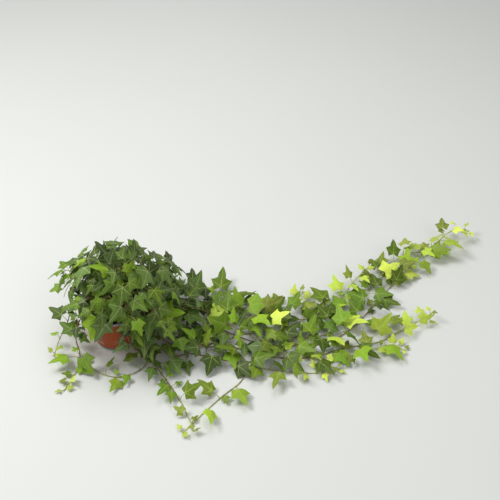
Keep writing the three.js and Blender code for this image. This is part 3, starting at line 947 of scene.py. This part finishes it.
# The blade's height over its own plane: the CAD blade's droop y^2 + fold |x|, with the blade swelling between
# its veins, its lobes' tips curled down and its edge a little wavy.
def bladeHeights(plans, blades, chance):
    x, y = plans[..., 0], plans[..., 1]
    count, _, across = x.shape
    droop = (blades["droop"] / blades["length"])[:, None, None]
    fold = (blades["fold"] / blades["length"])[:, None, None]
    point = np.arange(across)
    half = len(leaf["edge"])
    veins = [*leaf["sideVeins"], half, *(2 * half - i for i in leaf["sideVeins"])]
    onVein = np.isin(point, veins)
    swell = np.where(onVein, 0.0, leaf["bulge"]) * np.array([1.0, 0.3])[:, None]
    curl = np.where(onVein, leaf["curl"], 0.0) * np.array([0.0, 1.0])[:, None]
    twist = chance.uniform(-leaf["twist"], leaf["twist"], (count, 1, 1)) * x * y
    wave = leaf["wave"] * chance.uniform(-1, 1, (count, 1, across)) * np.array([0.3, 1.0])[:, None]
    curl = curl * chance.uniform(*leaf["curlSpread"], (count, 1, 1))
    return -droop * y * y - fold * np.abs(x) + swell - curl + twist + wave


# Thin closed blades: an upper and a lower skin that meet along the edge. Each skin is a fan round the stalk's
# end and a band of quads out to the edge. Heights under the ground are raised to it: z = max(z, lowest).
def growBlades(blades, chance):
    count = len(blades["length"])
    plans = bladePlans(chance, count)
    heights = bladeHeights(plans, blades, chance)
    length = blades["length"][:, None, None, None]
    breadth = blades["breadth"][:, None, None, None]
    base, side, along, normal = [blades[key][:, None, None] for key in ("base", "side", "along", "normal")]
    flat = base + side * plans[..., :1] * breadth + along * plans[..., 1:] * length
    skin = flat + normal * heights[..., None] * length
    half = blades["normal"][:, None, :] * leaf["thickness"] / 2
    middle = blades["base"][:, None, :].copy()
    for part in (skin, middle):
        part[..., 2] = np.maximum(part[..., 2], leaf["lowest"])
    inner, edge = skin[:, 0], skin[:, 1]
    points = join([middle + half, inner + half, edge, inner - half, middle - half], 1)
    across = edge.shape[1]
    top, inTop, rim, inLow, low = np.cumsum([0, 1, across, across, across])
    ring = np.arange(across)
    after = (ring + 1) % across
    upper = stack(inTop + ring, rim + ring, rim + after, inTop + after)
    lower = stack(inLow + after, rim + after, rim + ring, inLow + ring)
    blocks = [upper, fan(top, inTop + ring), lower, fan(low, inLow + ring, -1)]
    blocks = repeated(blocks, count, points.shape[1])
    # the plan is the same above and below; each point's own shares place the veins
    here = np.zeros((count, 1, 2))
    plan = join([here, plans[:, 0], plans[:, 1], plans[:, 0], here], 1)
    under = np.zeros(points.shape[1])
    under[inLow:] = 1
    isRim = np.zeros(points.shape[1], bool)
    isRim[rim:inLow] = True
    return points, blocks, plan, under, isRim


# Where each leaf's stalk meets the stem: the mean of the corners that its stalk's long edges run to.
def findFeet(points, triangles, rings, isBlade):
    owner = np.full(len(points), -1)
    owner[rings[:, 0]] = owner[rings[:, 8]] = np.arange(len(rings))
    edges = edgesOf(triangles)
    edges = edges[(owner[edges[:, 0]] >= 0) & ~isBlade[edges[:, 1]]]
    ends = points[edges[:, 1]]
    isLong = np.linalg.norm(points[edges[:, 0]] - ends, axis=1) > 2 * vine["stalkWidth"]
    leafOf, ends = owner[edges[isLong, 0]], ends[isLong]
    total = np.bincount(leafOf, minlength=len(rings))
    return np.stack([np.bincount(leafOf, ends[:, k], len(rings)) for k in range(3)], -1) / total[:, None]


# Stalks: each point is (1 - t)^2 foot + 2 t (1 - t) middle + t^2 base, arched up a little and coming into its
# blade along the blade.
def stalkLines(feet, blades):
    base = blades["base"] - blades["normal"] * leaf["thickness"] / 2
    length = np.linalg.norm(base - feet, axis=1)[:, None]
    middle = 0.6 * (feet + base) / 2 + 0.4 * (base - 0.5 * length * blades["along"])
    middle[:, 2:] += vine["stalkArch"] * length
    t = np.linspace(0, 1, vine["stalkSteps"])[None, :, None]
    line = (1 - t) ** 2 * feet[:, None] + 2 * t * (1 - t) * middle[:, None] + t**2 * base[:, None]
    line[..., 2] = np.maximum(line[..., 2], vine["stalkThick"][0])
    return line


youth = {
    "shoot": {"root": 0.03, "tip": 0.36, "rise": 3.0, "spread": 0.08, "freshShare": 0.05},
    "runner": {"root": 0.08, "tip": 1.0, "rise": 2.0, "spread": 0.16, "freshShare": 0.1},
    "freshStep": 0.35,  # how much younger a fresh leaf is
}


# How young each leaf is, 0 for the crown's old dark leaves and 1 for a growing tip.
def youthOf(kind, share, chance):
    young = youth[kind]
    spread = chance.uniform(-1, 1, len(share)) * young["spread"]
    grown = young["root"] + (young["tip"] - young["root"]) * share ** young["rise"] + spread
    fresh = chance.uniform(size=len(share)) < young["freshShare"]
    return np.clip(np.where(fresh, grown + youth["freshStep"], grown), 0, 1)


# What a CAD vine says: its blades, its stem's line, and each leaf's place on the stem.
def readVine(name):
    points, triangles = joinedMesh(nodes[name])
    rings, tops, unders = findBlades(points, triangles)
    blades = measureBlades(points, rings, tops, unders)
    isBlade = np.zeros(len(points), bool)
    isBlade[join([rings.ravel(), tops, unders])] = True
    corners = findStem(points, triangles, isBlade)
    root = corners[:1] - [[0, 0, vine["rootDepth"]]]
    line = smoothLine(join([root, corners]), vine["stemSteps"])
    line[:, 2] = np.maximum(line[:, 2], vine["stemThick"][0])
    entries = findFeet(points, triangles, rings, isBlade)
    footAt = np.linalg.norm(entries[:, None] - line[None], axis=-1).argmin(1)
    return blades, line, footAt


smallLeaf = {
    "shoot": {"perLeaf": 2.2, "size": (0.55, 0.85), "outwards": 0.5, "facing": 0.7, "room": 11 * mm},
    "runner": {"perLeaf": 1.0, "size": (0.35, 0.7), "outwards": 0.0, "facing": 0.0, "room": 15 * mm},
    "firstShare": 0.12,  # of the stem, below which none grows
    "middle": 0.42,  # a blade's middle, as a share of its length
    "stray": 0.5,
    "turnStray": 0.3,
    "stalk": (0.45, 0.85),  # these in shares of the blade's length
    "breadth": (0.78, 1.0),
    "droop": (0.08, 0.3),
    "fold": (0.0, 0.24),
    "offPot": 6 * mm,
    "overRim": 5 * mm,
    "inBox": 5 * mm,
}


def bladeMiddles(blades):
    return blades["base"] + smallLeaf["middle"] * blades["along"] * blades["length"][:, None]


# Smaller leaves between the CAD ones: stalks lean sideways, outwards and up, blades face up and outwards,
# and both stray. One that would touch the pot or crowd another isn't grown.
def smallBlades(kind, blades, line, footAt, taken, chance):
    rule = smallLeaf | smallLeaf[kind]
    count = int(len(footAt) * rule["perLeaf"])
    first = max(int(rule["firstShare"] * len(line)), footAt.min() - 2)
    at = np.sort(chance.integers(first, len(line) - 1, count))
    foot, way = line[at], unit(line[at + 1] - line[at - 1])
    up = np.array([0.0, 0.0, 1.0])
    outward = unit(foot * [1, 1, 0])
    side = unit(np.cross(up, way + 0.02 * outward)) * np.where(np.arange(count) % 2, 1, -1)[:, None]
    stray = chance.uniform(-1, 1, (3, count, 3))
    stalkWay = 0.75 * side + rule["outwards"] * outward + 0.6 * up + 0.3 * way
    stalkWay = unit(stalkWay + rule["stray"] * stray[0])
    normal = unit(up + rule["facing"] * outward + [0, -0.2, 0] + rule["stray"] * stray[1])
    along = squareTo(stalkWay - 0.3 * up + rule["turnStray"] * stray[2], normal)
    length = np.interp(at, np.sort(footAt), blades["length"][footAt.argsort()])
    length = length * chance.uniform(*rule["size"], count)
    base = foot + stalkWay * (length * chance.uniform(*rule["stalk"], count))[:, None]
    side = np.cross(along, normal)
    small = {"base": base, "side": side, "along": along, "normal": normal, "length": length}
    for key in ("breadth", "droop", "fold"):
        small[key] = length * chance.uniform(*smallLeaf[key], count)
    reach = np.stack([base, bladeMiddles(small), base + along * length[:, None]])
    offPot = np.hypot(reach[..., 0], reach[..., 1]) > pot["rimRadius"] + rule["offPot"]
    overRim = reach[..., 2] > pot["height"] + rule["overRim"]
    low, high = np.array(cadBox) + rule["inBox"] * np.array([[1], [-1]])
    inBox = ((reach > low) & (reach < high)).all(-1)
    kept = []
    for i in np.flatnonzero(((offPot | overRim) & inBox).all(0)):
        gap = np.linalg.norm(join(taken) - reach[1, i], axis=1).min()
        if gap > rule["room"]:
            kept.append(i)
            taken.append(reach[1, i : i + 1])
    return {key: value[kept] for key, value in small.items()}, at[kept]


# One vine as one object: its stem, and the stalks and blades of its CAD leaves and its small ones.
def growVine(name, leafMaterial, stemMaterial):
    kind = name.split("_")[0]
    chance = np.random.default_rng(100 + vineNames.index(name))
    blades, line, footAt = vinesRead[name]
    small, smallAt = smallBlades(kind, blades, line, footAt, takenMiddles, chance)
    blades = {key: join([blades[key], small[key]]) for key in blades}
    footAt = join([footAt, smallAt])
    way = join([[0], np.cumsum(np.linalg.norm(np.diff(line, axis=0), axis=1))])
    share = way / way[-1]

    thick = np.interp(share, [0, 1], vine["stemThick"])
    swell = np.exp(-((way[:, None] - way[footAt]) ** 2) / vine["swellReach"] ** 2).max(1)
    radius = thick + vine["nodeSwell"] * swell
    line[:, 2] = np.maximum(line[:, 2], radius)
    stem = tubes(line[None], radius[None], vine["stemSides"])
    stalkRadius = np.tile(np.linspace(*vine["stalkThick"], vine["stalkSteps"]), (len(footAt), 1))
    stalks = tubes(stalkLines(line[footAt], blades), stalkRadius, vine["stalkSides"])
    bladePoints, bladeBlocks, plan, under, isRim = growBlades(blades, chance)

    young = youthOf(kind, share[footAt], chance)
    luck = chance.uniform(size=len(young))
    each = bladePoints.shape[1]
    bladeTone = stack(young[:, None], luck[:, None], under)
    stemTone = stack(youthOf(kind, share, chance)[:, None], luck.mean(), np.zeros(vine["stemSides"]))
    stalkTone = stack(young[:, None], luck[:, None], np.ones(vine["stalkSteps"] * vine["stalkSides"]))

    bladeCount = bladePoints.shape[0] * each
    groups = [(bladePoints.reshape(-1, 3), bladeBlocks), stem, stalks]
    starts = np.cumsum([0] + [len(group[0]) for group in groups])
    blocks = [block + start for group, start in zip(groups, starts) for block in group[1]]
    slotOfBlock = [0] * len(bladeBlocks) + [1] * (len(stem[1]) + len(stalks[1]))
    allPoints = join([group[0] for group in groups])
    piece = makeObject(name + "_grown", allPoints, blocks, [leafMaterial, stemMaterial], slotOfBlock)
    addTone(piece.data, "growth", join([tone.reshape(-1, 3) for tone in (bladeTone, stemTone, stalkTone)]))
    shares = np.zeros((len(allPoints), 2))
    shares[:bladeCount] = plan.reshape(-1, 2)
    addUvMap(piece.data, "leafPlan", shares * leaf["planScale"] + leaf["planShift"])
    # the blades' edges stay crisp, because their two skins meet there
    rim = np.zeros(len(allPoints), bool)
    rim[:bladeCount] = np.tile(isRim, len(young))
    ends = np.empty(len(piece.data.edges) * 2, np.int32)
    piece.data.edges.foreach_get("vertices", ends)
    crisp = piece.data.attributes.new("sharp_edge", "BOOLEAN", "EDGE")
    crisp.data.foreach_set("value", rim[ends.reshape(-1, 2)].all(1))
    return piece


leafColours = {
    "blade": [(0.0, (78, 102, 46)), (0.22, (72, 102, 18)), (0.6, (118, 154, 30)), (1.0, (196, 212, 82))],
    "vein": [(0.0, (196, 208, 164)), (0.22, (180, 200, 112)), (0.6, (180, 204, 80)), (1.0, (214, 224, 118))],
    "under": [(0.0, (90, 110, 56)), (0.5, (124, 146, 62)), (1.0, (184, 198, 96))],
    "stem": [(0.0, (112, 76, 50)), (0.3, (134, 104, 56)), (0.6, (150, 146, 66)), (1.0, (182, 194, 88))],
    "stalk": [(0.0, (136, 138, 72)), (0.5, (158, 170, 76)), (1.0, (182, 200, 96))],
    "blush": (134, 84, 58),
    "veinStrength": {"shoot": 0.72, "runner": 0.55},
}


# A vein as a mask, in leaf shares: a line from the stalk to a point, thinning towards its end.
def veinMask(paint, x, y, reach, width):
    length = math.hypot(*reach)
    across = paint.minus(paint.times(x, reach[1] / length), paint.times(y, reach[0] / length))
    along = paint.plus(paint.times(x, reach[0] / length), paint.times(y, reach[1] / length))
    edge = paint.ramp(along, 0.0, length, width, width * 0.3)
    near = paint.ramp(paint.calc("ABSOLUTE", across), paint.times(edge, 0.3), edge, 1.0, 0.0)
    begun = paint.ramp(along, -0.01, 0.01)
    ended = paint.ramp(along, length * 0.95, length * 1.05, 1.0, 0.0)
    return paint.times(near, paint.times(begun, ended))


def leafPaint(name, veinStrength):
    paint = Paint(name)
    young, luck, under = paint.split(paint.add("Attribute", attribute_name="growth").outputs["Vector"])
    plan = paint.add("UVMap", uv_map="leafPlan").outputs[0]
    sheet = paint.split(plan)
    sway = paint.times(paint.minus(paint.noise(0.16, vector=plan), 0.5), 0.05)
    x, y = [paint.minus(sheet[k], leaf["planShift"][k]) for k in (0, 1)]
    x, y = [paint.calc("DIVIDE", share, leaf["planScale"]) for share in (x, y)]
    x = paint.calc("ABSOLUTE", paint.plus(x, paint.times(sway, y)))
    veins = veinMask(paint, x, y, leaf["midrib"], leaf["midribWidth"])
    for point, width in leaf["sideVeins"].items():
        veins = paint.most(veins, veinMask(paint, x, y, leaf["edge"][point], width))
    # finer veins leave the midrib at a slant
    slant = paint.plus(paint.minus(y, paint.times(x, leaf["ribSlant"])), sway)
    ribs = paint.ramp(paint.calc("PINGPONG", slant, leaf["ribPitch"]), 0.0, 0.014, 1.0, 0.0)
    ribs = paint.times(ribs, paint.ramp(x, 0.0, 0.3, 0.8, 0.25))
    net = paint.ramp(paint.cells(0.045, "DISTANCE_TO_EDGE", plan), 0.0, 0.12, 1.0, 0.0)
    fine = paint.most(paint.times(ribs, 0.55), paint.times(net, 0.3))
    pattern = paint.most(veins, fine)

    blade = paint.colours(young, leafColours["blade"])
    mottle = paint.noise(0.007, 4.0)
    blade = paint.vary(blade, luck, 0.6, paint.noise(0.05), 0.015)
    blade = paint.vary(blade, mottle, 0.18)
    vein = paint.colours(young, leafColours["vein"])
    colour = paint.mix(paint.times(pattern, veinStrength), blade, vein)
    colour = paint.mix(paint.times(under, 0.7), colour, paint.colours(young, leafColours["under"]))
    roughness = paint.ramp(mottle, 0.3, 0.7, 0.4, 0.52)
    height = paint.plus(paint.times(veins, 0.7), paint.times(fine, 0.6))
    return paint.finish(colour, roughness, height, 0.0004, 0.6, Specular_IOR_Level=0.26)


def stemPaint(name):
    paint = Paint(name)
    young, luck, isStalk = paint.split(paint.add("Attribute", attribute_name="growth").outputs["Vector"])
    streak = paint.noise(0.004, 5.0)
    bark = paint.vary(paint.colours(young, leafColours["stem"]), streak, 0.3, streak, 0.03)
    stalk = paint.vary(paint.colours(young, leafColours["stalk"]), luck, 0.15)
    blush = paint.ramp(paint.noise(0.02), 0.52, 0.7)
    stalk = paint.cover(stalk, blush, 0.45, leafColours["blush"])
    colour = paint.mix(isStalk, bark, stalk)
    return paint.finish(colour, paint.ramp(streak, 0.3, 0.7, 0.5, 0.7), streak, 0.0003, 0.5)


slotNames = {"shoot": "crown", "runner": "runner"}
strengths = leafColours["veinStrength"]
leafMaterials = {kind: leafPaint(slotNames[kind] + "Leaf", strengths[kind]) for kind in slotNames}
stemMaterials = {kind: stemPaint(slotNames[kind] + "Stem") for kind in slotNames}
vinesRead = {name: readVine(name) for name in vineNames}
takenMiddles = [bladeMiddles(blades) for blades, line, footAt in vinesRead.values()]
for name in vineNames:
    kind = name.split("_")[0]
    standsFor(growVine(name, leafMaterials[kind], stemMaterials[kind]), name, slotNames[kind])
print("vines grown:", len(vineNames), "with", len(join(takenMiddles)), "leaves")

boxes = {"cad": cadBox, "visual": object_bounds()}
{name: [list(corner) for corner in box] for name, box in boxes.items()}
